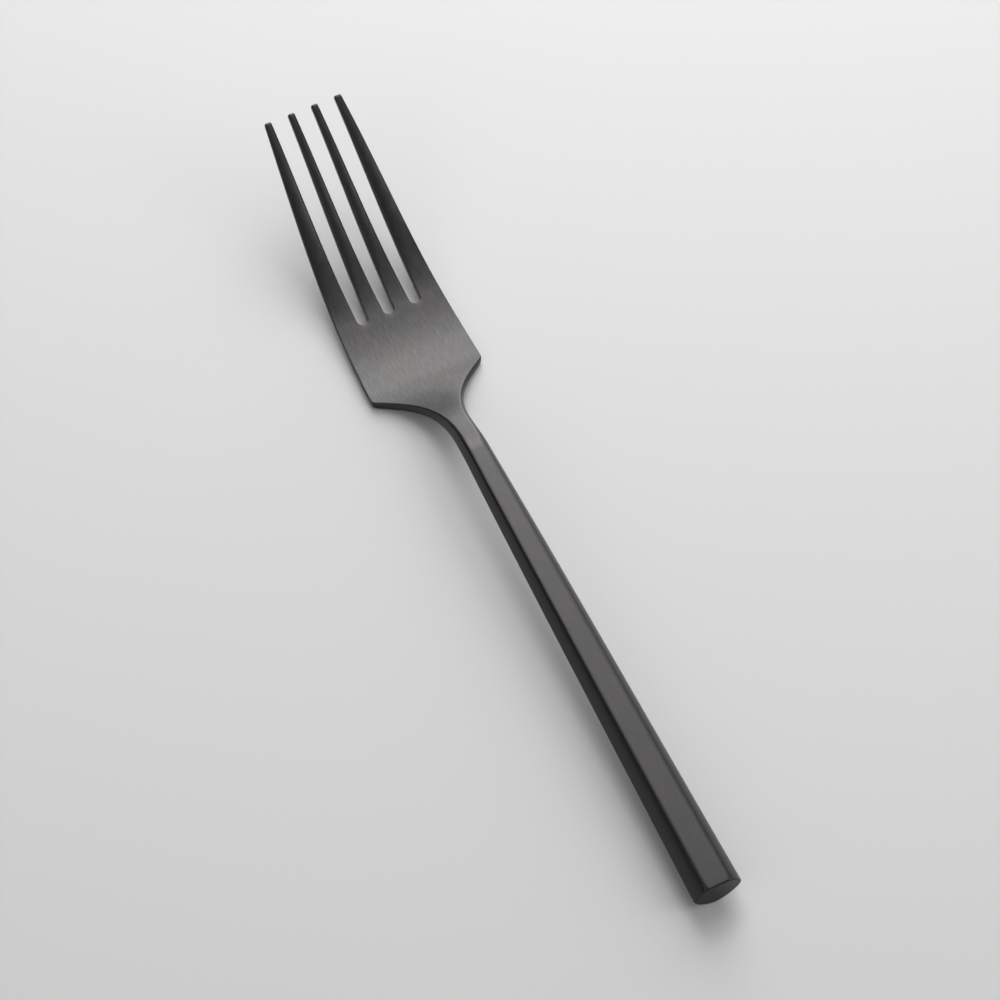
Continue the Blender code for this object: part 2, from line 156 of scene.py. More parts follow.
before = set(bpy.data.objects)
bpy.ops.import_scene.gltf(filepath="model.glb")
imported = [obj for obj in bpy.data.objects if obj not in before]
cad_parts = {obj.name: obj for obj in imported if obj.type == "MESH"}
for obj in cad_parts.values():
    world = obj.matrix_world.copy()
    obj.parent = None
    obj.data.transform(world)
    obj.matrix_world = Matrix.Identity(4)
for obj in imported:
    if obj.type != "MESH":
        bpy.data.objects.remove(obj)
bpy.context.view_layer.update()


def mix(start, end, share):
    return start + (end - start) * share


def ease(share):
    """0 to 1 with level ends."""
    share = min(max(share, 0.0), 1.0)
    return share * share * (3.0 - 2.0 * share)


def hermite(length, start, start_slope, end, end_slope, distance):
    """Height and slope at a distance along a curve with given ends."""
    t = distance / length
    height = (
        start * (2 * t**3 - 3 * t**2 + 1)
        + length * start_slope * (t**3 - 2 * t**2 + t)
        + end * (3 * t**2 - 2 * t**3)
        + length * end_slope * (t**3 - t**2)
    )
    slope = (
        (end - start) / length * 6 * (t - t**2)
        + start_slope * (3 * t**2 - 4 * t + 1)
        + end_slope * (3 * t**2 - 2 * t)
    )
    return height, slope


def top_line(station):
    """Height and slope of the fork's top line: raised tines, hollow root, arched neck, straight handle."""
    if station < BEND:
        return hermite(BEND, TIP_HEIGHT, -TIP_SLOPE, BEND_HEIGHT, -BEND_SLOPE, station)
    if station < LOWEST:
        return hermite(LOWEST - BEND, BEND_HEIGHT, -BEND_SLOPE, PLATE_THICKNESS, 0.0, station - BEND)
    if station < RISE_START:
        return PLATE_THICKNESS, 0.0
    if station < LIFTED:
        share = (station - RISE_START) / LIFT_LENGTH
        return mix(PLATE_THICKNESS, LIFTED_HEIGHT, share**3), LIFT_SLOPE * share**2
    if station < CREST:
        rise = CREST - LIFTED
        return hermite(rise, LIFTED_HEIGHT, LIFT_SLOPE, CREST_HEIGHT, CREST_SLOPE, station - LIFTED)
    if station < SETTLED:
        settle = SETTLED - CREST
        return hermite(settle, CREST_HEIGHT, CREST_SLOPE, SETTLED_HEIGHT, HANDLE_SLOPE, station - CREST)
    return NECK_HEIGHT + HANDLE_SLOPE * (station - JOINT), HANDLE_SLOPE


def place(station, across, below):
    """The point at a depth below the top line, measured square to that line."""
    height, slope = top_line(station)
    square = 1.0 / math.hypot(1.0, slope)
    along = station + below * slope * square
    return Vector((across, MIDDLE - along, height - below * square))


def outer_edge(station):
    """Half width of the head's outer edge, a parabola through tip, slot end and shoulder."""
    tip, root, shoulder = TIP_HALF_WIDTH, ROOT_HALF_WIDTH, SHOULDER_HALF_WIDTH
    first = (root - tip) / SLOT_END
    second = (shoulder - root) / ROOT_LENGTH
    bend = (second - first) / SHOULDER
    return tip + first * station + bend * station * (station - SLOT_END)


def soft_least(one, other, softness):
    """The smaller of two widths, with the corner between them rounded off."""
    return 0.5 * (one + other - math.hypot(one - other, 2 * softness))


def head_half_width(station):
    """Half width of the top face from the tips to the joint with the handle."""
    share = (station - SHOULDER) / NECK_LENGTH
    sweep = NECK_FLAT + (SHOULDER_HALF_WIDTH - NECK_FLAT) * max(1.0 - share, 0.0) ** SHOULDER_SWEEP
    rounding = SHOULDER_CORNER * max(1.0 - abs(share) / SHOULDER_CORNER_FADE, 0.0)
    return soft_least(outer_edge(station), sweep, rounding)


def arc(start, corner, end, steps):
    """Points of a soft corner between two places, without the last one."""
    points = []
    for step in range(steps):
        t = step / steps
        weights = ((1 - t) ** 2, 2 * t * (1 - t), t * t)
        across = sum(weight * point[0] for weight, point in zip(weights, (start, corner, end)))
        below = sum(weight * point[1] for weight, point in zip(weights, (start, corner, end)))
        points.append((across, below))
    return points


class Section:
    """A section square to the top line, the same on its left and right.

    A flat top sits at a drop below the top line. From its edges a nearly straight side slants out
    to the widest line, and a lower curve goes on from there to a level floor, which has no width on
    a round bar.
    """

    def __init__(self, drop, flat, wide, widest_depth, depth, floor, rounding):
        self.drop = drop
        self.flat = flat
        self.wide = wide
        self.widest_depth = widest_depth
        self.depth = depth
        self.floor = floor
        self.rounding = min(rounding, flat / 2)

    def slant(self):
        """Length of the slanting side."""
        return math.hypot(self.wide - self.flat, self.widest_depth)

    def side_point(self, share):
        """Point of the slanting side, from the flat's edge (0) to the widest line (1)."""
        swell = 4.0 * SIDE_BULGE * share * (1.0 - share)
        across = mix(self.flat, self.wide, share) + swell * self.widest_depth
        below = self.widest_depth * share - swell * (self.wide - self.flat)
        return across, self.drop + below

    def belly_below(self, across):
        """Depth of the underside at a place across the section."""
        share = max(abs(across) - self.floor, 0.0) / (self.wide - self.floor)
        reach = (1.0 - share**BELLY_FULLNESS) ** (1.0 / BELLY_FULLNESS)
        return self.drop + mix(self.widest_depth, self.depth, reach)

    def belly_point(self, angle):
        """Point of the lower curve, from the widest line (angle 0) to the floor (a right angle)."""
        lean = 2.0 / BELLY_FULLNESS
        across = mix(self.floor, self.wide, math.cos(angle) ** lean)
        return across, self.drop + mix(self.widest_depth, self.depth, math.sin(angle) ** lean)

    def upper_side(self):
        """Right-hand points from the end of the flat, round the crease and down the slanting side."""
        leave = CREASE_LEAN * self.rounding / self.slant()
        start = (self.flat - self.rounding, self.drop)
        points = arc(start, (self.flat, self.drop), self.side_point(leave), ROUND_STEPS)
        for step in range(UPPER_STEPS + 1):
            points.append(self.side_point(mix(leave, 1.0, step / UPPER_STEPS)))
        return points

    def belly(self):
        """Points of the lower curve from the right side to the left side."""
        right = []
        for step in range(BELLY_STEPS // 2):
            right.append(self.belly_point(math.pi * step / BELLY_STEPS))
        return right + [(0.0, self.drop + self.depth)] + mirrored(right)

    def outline(self):
        """The whole outline, round from the left end of the flat."""
        side = self.upper_side()
        return mirrored(side)[-1:] + side + self.belly()[1:-1] + mirrored(side)[:-1]

    def inset(self, distance):
        """The section that lies a distance inside this one, with its sides parallel to these."""
        run = self.wide - self.flat
        lost_flat = distance * (self.slant() - run) / self.widest_depth
        lost_depth = distance * (1.0 - (self.slant() - self.widest_depth) / run)
        return Section(
            self.drop + distance,
            self.flat - lost_flat,
            self.wide - distance,
            self.widest_depth - lost_depth,
            self.depth - 2 * distance,
            self.floor,
            self.rounding,
        )

    def narrowed(self, share):
        """The section shrunk by a share about the middle of its depth."""
        middle = self.drop + self.depth / 2
        drop = middle - (middle - self.drop) * share
        return Section(
            drop,
            self.flat * share,
            self.wide * share,
            self.widest_depth * share,
            self.depth * share,
            self.floor * share,
            self.rounding * share,
        )


def mirrored(points):
    """Right-hand points on the left, in the opposite order."""
    return [(-across, below) for across, below in reversed(points)]


def plate_thickness(station):
    return mix(TIP_THICKNESS, PLATE_THICKNESS, min(station / SLOT_END, 1.0))


def neck_share(station):
    """0 on the plate, rising to 1 where the neck has become the bar."""
    return ease((station - SHOULDER) / NECK_LENGTH)


def head_section(station):
    """Section of the head: a plate up to the shoulders, turning into the bar along the neck."""
    share = neck_share(station)
    flat = head_half_width(station)
    wide = flat + mix(PLATE_SIDE_SWELL, NECK_HALF_WIDTH - NECK_FLAT, share)
    plate = plate_thickness(station)
    return Section(
        0.0,
        flat,
        wide,
        mix(plate / 2, NECK_WIDEST_DEPTH, share),
        mix(plate, NECK_DEPTH, share),
        mix(wide - PLATE_SIDE_ROUND, 0.0, share),
        mix(PLATE_EDGE_ROUND, NECK_CREASE_ROUND, share),
    )


def early_swell(share):
    """0 at both ends and 1 at its highest, a third of the way along."""
    highest = 4.0 / 27.0
    return share * (1.0 - share) ** 2 / highest


def handle_section(station):
    """Section of the bar handle, which widens from the neck to the butt, a little faster at first."""
    share = (station - JOINT) / HANDLE_LENGTH
    swell = HANDLE_SWELL * early_swell(share)
    return Section(
        0.0,
        mix(NECK_FLAT, BUTT_FLAT, share),
        mix(NECK_HALF_WIDTH, BUTT_HALF_WIDTH, share) + swell,
        mix(NECK_WIDEST_DEPTH, BUTT_WIDEST_DEPTH, share),
        mix(NECK_DEPTH, BUTT_DEPTH, share),
        0.0,
        mix(NECK_CREASE_ROUND, BUTT_CREASE_ROUND, share),
    )


def ring_at(station, points):
    """Section points at a station, as station, across and below."""
    return [(station, across, below) for across, below in points]


def vertices(mesh, points):
    """A vertex for each station, across and below, which it keeps as the grain's own coordinates."""
    grain = mesh.verts.layers.float_vector["grain"]
    made = []
    for station, across, below in points:
        vertex = mesh.verts.new(place(station, across, below))
        vertex[grain] = (across, station, below)
        made.append(vertex)
    return made


def new_mesh():
    mesh = bmesh.new()
    mesh.verts.layers.float_vector.new("grain")
    return mesh


def bridge(mesh, first, second, closed=True):
    """Quads between two loops of vertices with the same count."""
    count = len(first)
    for index in range(count if closed else count - 1):
        following = (index + 1) % count
        mesh.faces.new((first[index], first[following], second[following], second[index]))


def loft(mesh, rings):
    """Skin through rings of points. Returns the first and the last loop of vertices."""
    loops = [vertices(mesh, ring) for ring in rings]
    for first, second in zip(loops, loops[1:]):
        bridge(mesh, first, second)
    return loops[0], loops[-1]


def piece_of(mesh, name, materials):
    """Turns a bmesh into a smooth named object whose shading follows its larger faces."""
    bmesh.ops.recalc_face_normals(mesh, faces=mesh.faces[:])
    data = bpy.data.meshes.new(name)
    mesh.to_mesh(data)
    mesh.free()
    data.shade_smooth()
    data.set_sharp_from_angle(angle=SHARP_EDGE)
    for material in materials:
        data.materials.append(material)
    piece = bpy.data.objects.new(name, data)
    bpy.context.scene.collection.objects.link(piece)
    shading = piece.modifiers.new("shading", "WEIGHTED_NORMAL")
    shading.mode = "FACE_AREA"
    shading.weight = LARGE_FACE_WEIGHT
    shading.keep_sharp = True
    return piece


def slot_centre(index, station):
    """Middle of a slot, counted from the left, at a station in front of the slot ends."""
    tip_pitch = TINE_WIDTH_AT_TIP + SLOT_WIDTH_AT_TIP
    root_pitch = TINE_WIDTH_AT_ROOT + SLOT_WIDTH_AT_ROOT
    return (index - (SLOT_COUNT - 1) / 2) * mix(tip_pitch, root_pitch, station / SLOT_END)


def slot_half_width(station):
    return mix(SLOT_WIDTH_AT_TIP, SLOT_WIDTH_AT_ROOT, station / SLOT_END) / 2


def slot_round(station):
    """Rounding of a tine's edges: soft along the tine, crisp at the slot ends."""
    along_tine = mix(TIP_EDGE_ROUND, TINE_EDGE_ROUND, ease(station / ROUND_FADE))
    return mix(SLOT_END_ROUND, along_tine, ease((SLOT_END_CENTRE - station) / ROUND_FADE))


def slot_wall(station):
    """A slot wall's profile as how far it is set back and how deep: both faces' edges are rounded."""
    thick = plate_thickness(station)
    rounding = slot_round(station)
    upper = arc((rounding, 0.0), (0.0, 0.0), (0.0, rounding), SLOT_EDGE_STEPS)
    lower = [(back, thick - below) for back, below in reversed(upper)]
    return upper + [(0.0, rounding), (0.0, thick - rounding)] + lower


def tine_edges(tine, station):
    """Left and right end of a tine's flat top."""
    outer = head_half_width(station) - PLATE_EDGE_ROUND
    left = -outer
    right = outer
    if tine > 0:
        left = slot_centre(tine - 1, station) + slot_half_width(station) + slot_round(station)
    if tine < SLOT_COUNT:
        right = slot_centre(tine, station) - slot_half_width(station) - slot_round(station)
    return left, right


def root_columns():
    """Places across the head behind the slots, and how far each bulges back round a slot end.

    Also gives each tine's span of columns.
    """
    across = []
    bulge = []
    spans = []
    for tine in range(TINE_COUNT):
        left, right = tine_edges(tine, SLOT_END_CENTRE)
        first = len(across)
        for step in range(TINE_STEPS + 1):
            across.append(mix(left, right, step / TINE_STEPS))
            bulge.append(0.0)
        spans.append((first, len(across) - 1))
        if tine == SLOT_COUNT:
            break
        middle = slot_centre(tine, SLOT_END_CENTRE)
        radius = slot_half_width(SLOT_END_CENTRE) + SLOT_END_ROUND
        for step in range(1, SLOT_END_STEPS):
            angle = math.pi * step / SLOT_END_STEPS
            across.append(middle - radius * math.cos(angle))
            bulge.append(radius * math.sin(angle))
    return across, bulge, spans


def underside_reach(section, station):
    """How far out the underside columns go: over the plate's floor, or part of the bar's belly."""
    return mix(section.floor, BELLY_SPAN * section.wide, neck_share(station))


def head_side(section, station):
    """Right-hand points from the flat's end to the start of the underside, without these two."""
    out = (underside_reach(section, station) - section.floor) / (section.wide - section.floor)
    lowest = math.acos(max(out, 0.0) ** (BELLY_FULLNESS / 2.0))
    lower = []
    for step in range(1, LOWER_STEPS + 1):
        lower.append(section.belly_point(lowest * step / (LOWER_STEPS + 1)))
    return section.upper_side()[1:] + lower


def head_ring(station, section, shares, bulge):
    """One ring of the head: top columns, right side, underside columns, left side."""
    top_reach = section.flat - section.rounding
    under_reach = underside_reach(section, station)
    top = []
    under = []
    for share, back in zip(shares, bulge):
        across = under_reach * share
        top.append((station + back, top_reach * share, section.drop))
        under.append((station + back, across, section.belly_below(across)))
    side = head_side(section, station)
    return top, ring_at(station, side), under, ring_at(station, mirrored(side))


def head_stations():
    """Stations of the rings from the slot ends to the joint, closest together at the shoulders."""
    behind_slots = SLOT_END + SLOT_END_RADIUS
    corner = SHOULDER - SHOULDER_ROWS
    stations = [SLOT_END_CENTRE]
    for row in range(ROOT_ROWS):
        stations.append(mix(behind_slots, corner, row / ROOT_ROWS))
    for row in range(NECK_ROWS + 1):
        stations.append(mix(corner, JOINT, (row / NECK_ROWS) ** NECK_ROW_CROWDING))
    return stations


def tine_rows():
    """Station and draw-in of each ring of a tine, from its rounded tip to just before the slot ends."""
    rows = []
    for row in range(TIP_ROWS):
        angle = math.pi / 2 * row / TIP_ROWS
        rows.append((TIP_ROUND_LENGTH * (1 - math.cos(angle)), TIP_ROUND_DEPTH * (1 - math.sin(angle))))
    for row in range(TINE_ROWS):
        rows.append((mix(TIP_ROUND_LENGTH, SLOT_END_CENTRE, row / TINE_ROWS), 0.0))
    return rows


def tine_sides(tine, station):
    """A tine's right and left walls: the head's outer side, or a slot's."""
    outer = head_side(head_section(station), station)
    wall = slot_wall(station)[1:-1]
    left, right = tine_edges(tine, station)
    rounding = slot_round(station)
    right_wall = [(right + rounding - back, below) for back, below in wall]
    left_wall = [(left - rounding + back, below) for back, below in reversed(wall)]
    if tine == SLOT_COUNT:
        right_wall = outer
    if tine == 0:
        left_wall = mirrored(outer)
    return right_wall, left_wall


def tine_ring(tine, station, shrink):
    """One ring of a tine: top, right wall, underside, left wall, drawn in towards its middle."""
    left, right = tine_edges(tine, station)
    thick = plate_thickness(station)
    columns = [mix(left, right, step / TINE_STEPS) for step in range(TINE_STEPS + 1)]
    right_wall, left_wall = tine_sides(tine, station)
    ring = [(across, 0.0) for across in columns] + right_wall
    ring += [(across, thick) for across in reversed(columns)] + left_wall
    middle = (left + right) / 2
    half = (right - left) / 2 + slot_round(station)
    crown = TINE_CROWN * half * ease((SLOT_END_CENTRE - station) / CROWN_FADE)
    drawn = []
    for across, below in ring:
        fall = crown * ((across - middle) / half) ** 2
        deep = mix(fall, thick, below / thick)
        drawn_across = mix(middle, across, 1.0 - shrink / half)
        drawn_below = mix(thick / 2, deep, 1.0 - 2 * shrink / thick)
        drawn.append((drawn_across, drawn_below))
    return ring_at(station, drawn)


def loop_of(parts):
    """Joins top, right, underside (reversed) and left into one ring."""
    top, right, under, left = parts
    return list(top) + list(right) + list(reversed(under)) + list(left)


def make_head(material):
    """Tines, root plate, shoulders, neck and tang as one forging."""
    mesh = new_mesh()
    across, bulge, spans = root_columns()
    shares = [place_across / across[-1] for place_across in across]
    level = [0.0] * len(shares)
    rings = []
    for row, station in enumerate(head_stations()):
        parts = head_ring(station, head_section(station), shares, bulge if row == 0 else level)
        rings.append([vertices(mesh, part) for part in parts])
    loops = [loop_of(ring) for ring in rings]
    for first, second in zip(loops, loops[1:]):
        bridge(mesh, first, second)
    add_tang(mesh, loops[-1], shares)
    walls = [slot_end_walls(mesh, slot) for slot in range(SLOT_COUNT)]
    for tine in range(TINE_COUNT):
        add_tine(mesh, tine, rings[0], spans[tine], walls)
    for slot in range(SLOT_COUNT):
        add_slot_end(mesh, rings[0], spans[slot][1], walls[slot])
    return piece_of(mesh, "head", [material])


def slot_end_walls(mesh, slot):
    """Columns of wall vertices round a slot's end, from its left wall to its right one."""
    middle = slot_centre(slot, SLOT_END_CENTRE)
    radius = slot_half_width(SLOT_END_CENTRE)
    wall = slot_wall(SLOT_END_CENTRE)[1:-1]
    columns = []
    for step in range(SLOT_END_STEPS + 1):
        angle = math.pi * step / SLOT_END_STEPS
        points = []
        for back, below in wall:
            reach = radius + back
            station = SLOT_END_CENTRE + reach * math.sin(angle)
            points.append((station, middle - reach * math.cos(angle), below))
        columns.append(vertices(mesh, points))
    return columns


def add_slot_end(mesh, root_ring, first, columns):
    """Faces of a slot's end, with its rounded edges, between the head's top and underside."""
    top, _, under, _ = root_ring
    full = []
    for step, column in enumerate(columns):
        full.append([top[first + step]] + column + [under[first + step]])
    for one, other in zip(full, full[1:]):
        bridge(mesh, one, other, closed=False)


def add_tine(mesh, tine, root_ring, span, walls):
    """A tine from its rounded tip to the ring behind the slots, whose vertices it shares."""
    first, last = span
    top, right, under, left = root_ring
    loops = []
    for station, shrink in tine_rows():
        loops.append(vertices(mesh, tine_ring(tine, station, shrink)))
    root_parts = (
        top[first:last + 1],
        right if tine == SLOT_COUNT else walls[tine][0],
        under[first:last + 1],
        left if tine == 0 else list(reversed(walls[tine - 1][-1])),
    )
    loops.append(loop_of(root_parts))
    for one, other in zip(loops, loops[1:]):
        bridge(mesh, one, other)
    mesh.faces.new(reversed(loops[0]))


def add_tang(mesh, joint_loop, shares):
    """Steps in from the joint and runs the tang into the handle."""
    level = [0.0] * len(shares)
    previous = joint_loop
    for share in (0.0, 1.0):
        section = handle_section(JOINT).inset(TANG_INSET).narrowed(mix(1.0, TANG_TAPER, share))
        parts = head_ring(JOINT + TANG_LENGTH * share, section, shares, level)
        loop = vertices(mesh, loop_of(parts))
        bridge(mesh, previous, loop)
        previous = loop
    mesh.faces.new(previous)


def make_handle(material):
    """The bar handle's skin, both shells in one, open at its ends."""
    mesh = new_mesh()
    front = JOINT + HAIRLINE
    back = BUTT - CAP_THICKNESS - HAIRLINE
    stations = [mix(front, back, row / HANDLE_ROWS) for row in range(HANDLE_ROWS + 1)]
    outer = [ring_at(station, handle_section(station).outline()) for station in stations]
    inner = [ring_at(station, handle_section(station).inset(SHELL_WALL).outline()) for station in stations]
    first, last = loft(mesh, outer)
    inner_first, inner_last = loft(mesh, inner)
    bridge(mesh, first, inner_first)
    bridge(mesh, last, inner_last)
    return piece_of(mesh, "handle", [material])


def make_cap(side_material, end_material):
    """The end plate, flush with the handle, with its rounded rim and the spigot that seats inside."""
    mesh = new_mesh()
    plate_front = BUTT - CAP_THICKNESS
    rings = [
        ring_at(plate_front - SPIGOT_LENGTH, handle_section(plate_front).inset(CAP_INSET).outline()),
        ring_at(plate_front, handle_section(plate_front).inset(CAP_INSET).outline()),
        ring_at(plate_front, handle_section(plate_front).outline()),
    ]
    for step in range(END_ROUND_STEPS + 1):
        angle = math.pi / 2 * step / END_ROUND_STEPS
        station = BUTT - BUTT_EDGE_ROUND * (1 - math.sin(angle))
        drawn_in = BUTT_EDGE_ROUND * (1 - math.cos(angle))
        rings.append(ring_at(station, handle_section(station).inset(drawn_in).outline()))
    spigot, end = loft(mesh, rings)
    mesh.faces.new(reversed(spigot))
    # The end face takes the second material, the steel darkened as painted shade
    mesh.faces.new(end).material_index = 1
    return piece_of(mesh, "end_cap", [side_material, end_material])


def shader_of(name):
    """A new material with its nodes and its shader."""
    material = bpy.data.materials.new(name)
    material.use_nodes = True
    nodes = material.node_tree.nodes
    return material, nodes, material.node_tree.links, nodes["Principled BSDF"]


# Brushed black steel, with a clear grain on the head, a faint one on the handle, and a darker end face
# whose colour is painted shade
HEAD_DARK = (0.0272, 0.0268, 0.0270)
HEAD_LIGHT = (0.0681, 0.0672, 0.0677)
HANDLE_DARK = (0.0386, 0.0380, 0.0383)
HANDLE_LIGHT = (0.0568, 0.0560, 0.0565)
# The end face's steel is darker and weaker at grazing angles: painted shade for the end, which faces the
# shadowed floor by the butt
END_SHADE_DARK = (0.0290, 0.0295, 0.0296)
END_SHADE_LIGHT = (0.0467, 0.0472, 0.0474)
STEEL_GRAZING_TINT = (0.88, 0.88, 0.88)
END_SHADE_GRAZING_TINT = (0.76, 0.76, 0.76)
CLOUD_TINT = (1.045, 1.0, 0.992)
CLOUDS_PER_METRE = 130.0
CLOUD_RANGE = (0.35, 0.65)
GRAIN_PER_METRE = (3600.0, 380.0, 3600.0)
GRAIN_DETAIL = 4.0
GRAIN_BUMP = 0.20
GRAIN_DEPTH = 0.00002
ROUGHNESS_RANGE = (0.25, 0.35)


def brushed(name, dark, light, grazing_tint):
    """Black coated steel with a brushed grain along the fork and faint warm clouds in its colour."""
    material, nodes, links, shader = shader_of(name)
    shader.inputs["Metallic"].default_value = 1.0
    shader.inputs["Specular Tint"].default_value = (*grazing_tint, 1.0)

    place_in = nodes.new("ShaderNodeAttribute")
    place_in.attribute_name = "grain"
    stretch = nodes.new("ShaderNodeVectorMath")
    stretch.operation = "MULTIPLY"
    stretch.inputs[1].default_value = GRAIN_PER_METRE
    links.new(place_in.outputs["Vector"], stretch.inputs[0])

    streaks = nodes.new("ShaderNodeTexNoise")
    streaks.inputs["Scale"].default_value = 1.0
    streaks.inputs["Detail"].default_value = GRAIN_DETAIL
    links.new(stretch.outputs["Vector"], streaks.inputs["Vector"])

    tone = nodes.new("ShaderNodeMix")
    tone.data_type = "RGBA"
    tone.inputs["A"].default_value = (*dark, 1.0)
    tone.inputs["B"].default_value = (*light, 1.0)
    links.new(streaks.outputs["Fac"], tone.inputs["Factor"])

    clouds = nodes.new("ShaderNodeTexNoise")
    clouds.inputs["Scale"].default_value = CLOUDS_PER_METRE
    links.new(place_in.outputs["Vector"], clouds.inputs["Vector"])
    cover = nodes.new("ShaderNodeMapRange")
    cover.inputs["From Min"].default_value = CLOUD_RANGE[0]
    cover.inputs["From Max"].default_value = CLOUD_RANGE[1]
    links.new(clouds.outputs["Fac"], cover.inputs["Value"])
    tinted = nodes.new("ShaderNodeMix")
    tinted.data_type = "RGBA"
    tinted.blend_type = "MULTIPLY"
    tinted.inputs["B"].default_value = (*CLOUD_TINT, 1.0)
    links.new(cover.outputs["Result"], tinted.inputs["Factor"])
    links.new(tone.outputs["Result"], tinted.inputs["A"])
    links.new(tinted.outputs["Result"], shader.inputs["Base Color"])

    gloss = nodes.new("ShaderNodeMapRange")
    gloss.inputs["To Min"].default_value = ROUGHNESS_RANGE[0]
    gloss.inputs["To Max"].default_value = ROUGHNESS_RANGE[1]
    links.new(streaks.outputs["Fac"], gloss.inputs["Value"])
    links.new(gloss.outputs["Result"], shader.inputs["Roughness"])

    bump = nodes.new("ShaderNodeBump")
    bump.inputs["Strength"].default_value = GRAIN_BUMP
    bump.inputs["Distance"].default_value = GRAIN_DEPTH
    links.new(streaks.outputs["Fac"], bump.inputs["Height"])
    links.new(bump.outputs["Normal"], shader.inputs["Normal"])
    return material


FILLER_DARK = (0.34, 0.32, 0.29)
FILLER_LIGHT = (0.48, 0.46, 0.43)
FILLER_SPECKS_PER_METRE = 1800.0
FILLER_ROUGHNESS = 0.9


def cast_filler():
    """Matt cast filler with a fine speckle, hidden inside the handle."""
    material, nodes, links, shader = shader_of("cast_filler")
    shader.inputs["Roughness"].default_value = FILLER_ROUGHNESS
    place_in = nodes.new("ShaderNodeTexCoord")
    specks = nodes.new("ShaderNodeTexNoise")
    specks.inputs["Scale"].default_value = FILLER_SPECKS_PER_METRE
    links.new(place_in.outputs["Object"], specks.inputs["Vector"])
    tone = nodes.new("ShaderNodeMix")
    tone.data_type = "RGBA"
    tone.inputs["A"].default_value = (*FILLER_DARK, 1.0)
    tone.inputs["B"].default_value = (*FILLER_LIGHT, 1.0)
    links.new(specks.outputs["Fac"], tone.inputs["Factor"])
    links.new(tone.outputs["Result"], shader.inputs["Base Color"])
    return material


# The photograph's view: a long lens, high over the butt and a little to its left
LENS = 129.6
SENSOR = 36.0
NEAREST_SEEN = 0.01
VIEW_ELEVATION = math.radians(61.584)
VIEW_YAW = math.radians(26.281)
VIEW_DISTANCE = 0.7208892
VIEW_TARGET = Vector((0.001247, 0.002835, 0.00115))


def toward(elevation, right_of_far=0.0):
    """Direction from the fork: an elevation, and an angle to the right of the view's far side."""
    turn = VIEW_YAW + right_of_far
    level = math.cos(elevation)
    return Vector((math.sin(turn) * level, math.cos(turn) * level, math.sin(elevation)))


def aim(thing, target):
    thing.rotation_mode = "QUATERNION"
    thing.rotation_quaternion = (target - thing.location).to_track_quat("-Z", "Y")


def make_camera():
    data = bpy.data.cameras.new("camera")
    data.lens = LENS
    data.sensor_width = SENSOR
    data.clip_start = NEAREST_SEEN
    camera = bpy.data.objects.new("camera", data)
    bpy.context.scene.collection.objects.link(camera)
    camera.location = VIEW_TARGET + VIEW_DISTANCE * toward(VIEW_ELEVATION, math.pi)
    aim(camera, VIEW_TARGET)
    bpy.context.scene.camera = camera


# Studio: soft panels one above the other on the far side, weaker ones on the right and at the near
# left, a room that is paler on the right, and a pale floor
FLOOR_COLOUR = (0.56, 0.56, 0.56)
FLOOR_HALF_SIZE = 3.0
FLOOR_DROP = 0.00002
FLOOR_ROUGHNESS = 0.9
FLOOR_SPECULAR = 0.1
ROOM_COLOUR = (1.0, 1.0, 1.0)
ROOM_LEFT = 0.13
ROOM_RIGHT = 0.57
PANEL_DISTANCE = 0.643
FAR = math.radians(-1.0)
FAR_WIDTH = 0.45
KEY = math.radians(-8.0)
KEY_WIDTH = 0.29
FAR_RIGHT = math.radians(33.0)
FAR_RIGHT_WIDTH = 0.27
UPPER_RIGHT = math.radians(88.0)
UPPER_RIGHT_WIDTH = 0.20
RIGHT = math.radians(102.0)
RIGHT_WIDTH = 0.32
NEAR_LEFT = math.radians(-135.0)
NEAR_LEFT_WIDTH = 0.45
# Each panel's direction, width, lowest and highest elevation in degrees, and brightness
PANELS = {
    "horizon_panel": (FAR, FAR_WIDTH, 0.5, 13.0, 5.5),
    "low_panel": (FAR, FAR_WIDTH, 13.0, 51.5, 4.5),
    "key_panel": (KEY, KEY_WIDTH, 51.5, 61.3, 7.6),
    "overhead_panel": (FAR, FAR_WIDTH, 61.3, 81.0, 2.15),
    "far_right_panel": (FAR_RIGHT, FAR_RIGHT_WIDTH, 8.0, 52.0, 1.75),
    "upper_right_panel": (UPPER_RIGHT, UPPER_RIGHT_WIDTH, 64.0, 84.0, 0.55),
    "right_panel": (RIGHT, RIGHT_WIDTH, 22.0, 50.0, 2.2),
    "fill_panel": (NEAR_LEFT, NEAR_LEFT_WIDTH, 20.0, 55.0, 0.85),
}


def make_panel(name, right_of_far, width, lowest, highest, radiance):
    """A soft panel between two elevations, facing the fork."""
    low = math.radians(lowest)
    high = math.radians(highest)
    data = bpy.data.lights.new(name, "AREA")
    data.shape = "RECTANGLE"
    data.size = width
    data.size_y = 2 * PANEL_DISTANCE * math.tan((high - low) / 2)
    data.energy = radiance * math.pi * data.size * data.size_y
    panel = bpy.data.objects.new(name, data)
    bpy.context.scene.collection.objects.link(panel)
    panel.location = PANEL_DISTANCE * toward((low + high) / 2, right_of_far)
    panel.visible_camera = False
    aim(panel, Vector((0.0, 0.0, 0.0)))


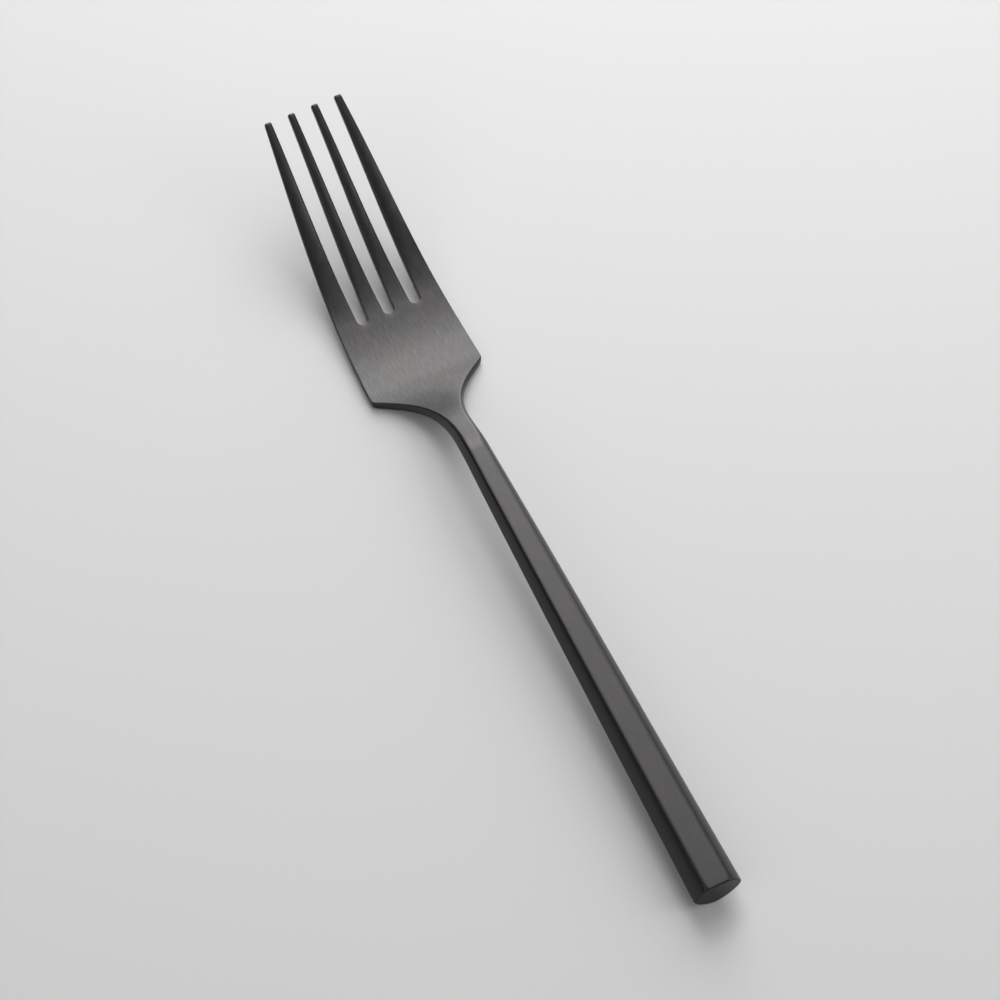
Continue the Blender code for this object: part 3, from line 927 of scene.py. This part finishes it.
def make_room():
    """An even room around the fork, dim on the left and paler on the right."""
    world = bpy.data.worlds.new("room")
    world.use_nodes = True
    nodes = world.node_tree.nodes
    links = world.node_tree.links
    walls = nodes["Background"]
    walls.inputs["Color"].default_value = (*ROOM_COLOUR, 1.0)
    way = nodes.new("ShaderNodeTexCoord")
    sideways = nodes.new("ShaderNodeVectorMath")
    sideways.operation = "DOT_PRODUCT"
    sideways.inputs[1].default_value = toward(0.0, math.radians(90))
    links.new(way.outputs["Generated"], sideways.inputs[0])
    level = nodes.new("ShaderNodeMapRange")
    level.inputs["From Min"].default_value = -1.0
    level.inputs["To Min"].default_value = ROOM_LEFT
    level.inputs["To Max"].default_value = ROOM_RIGHT
    links.new(sideways.outputs["Value"], level.inputs["Value"])
    links.new(level.outputs["Result"], walls.inputs["Strength"])
    bpy.context.scene.world = world


def make_floor():
    mesh = bmesh.new()
    bmesh.ops.create_grid(mesh, x_segments=1, y_segments=1, size=FLOOR_HALF_SIZE)
    bmesh.ops.translate(mesh, verts=mesh.verts[:], vec=(0.0, 0.0, -FLOOR_DROP))
    data = bpy.data.meshes.new("floor")
    mesh.to_mesh(data)
    mesh.free()
    material, _, _, shader = shader_of("pale_floor")
    shader.inputs["Base Color"].default_value = (*FLOOR_COLOUR, 1.0)
    shader.inputs["Roughness"].default_value = FLOOR_ROUGHNESS
    shader.inputs["Specular IOR Level"].default_value = FLOOR_SPECULAR
    data.materials.append(material)
    floor = bpy.data.objects.new("floor", data)
    bpy.context.scene.collection.objects.link(floor)


def dress():
    """The visible pieces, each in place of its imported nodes."""
    head_steel = brushed("brushed_black_steel", HEAD_DARK, HEAD_LIGHT, STEEL_GRAZING_TINT)
    handle_steel = brushed("satin_black_steel", HANDLE_DARK, HANDLE_LIGHT, STEEL_GRAZING_TINT)
    # The end face's darker steel is painted shade
    shaded_end_steel = brushed("black_end_steel", END_SHADE_DARK, END_SHADE_LIGHT, END_SHADE_GRAZING_TINT)
    head = make_head(head_steel)
    handle = make_handle(handle_steel)
    cap = make_cap(handle_steel, shaded_end_steel)
    for piece, slot, nodes in (
        (head, "black_brushed_steel", ("fork_head",)),
        (handle, "black_brushed_steel", ("handle_upper_shell", "handle_lower_shell")),
        (cap, "black_end_steel", ("butt_cap",)),
    ):
        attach(piece, "root")
        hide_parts(*nodes)
    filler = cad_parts["handle_filler"]
    filler.data.materials.clear()
    filler.data.materials.append(cast_filler())


bpy.context.scene.view_settings.view_transform = "Standard"
dress()
make_floor()
make_room()
for panel_name, panel_values in PANELS.items():
    make_panel(panel_name, *panel_values)
make_camera()
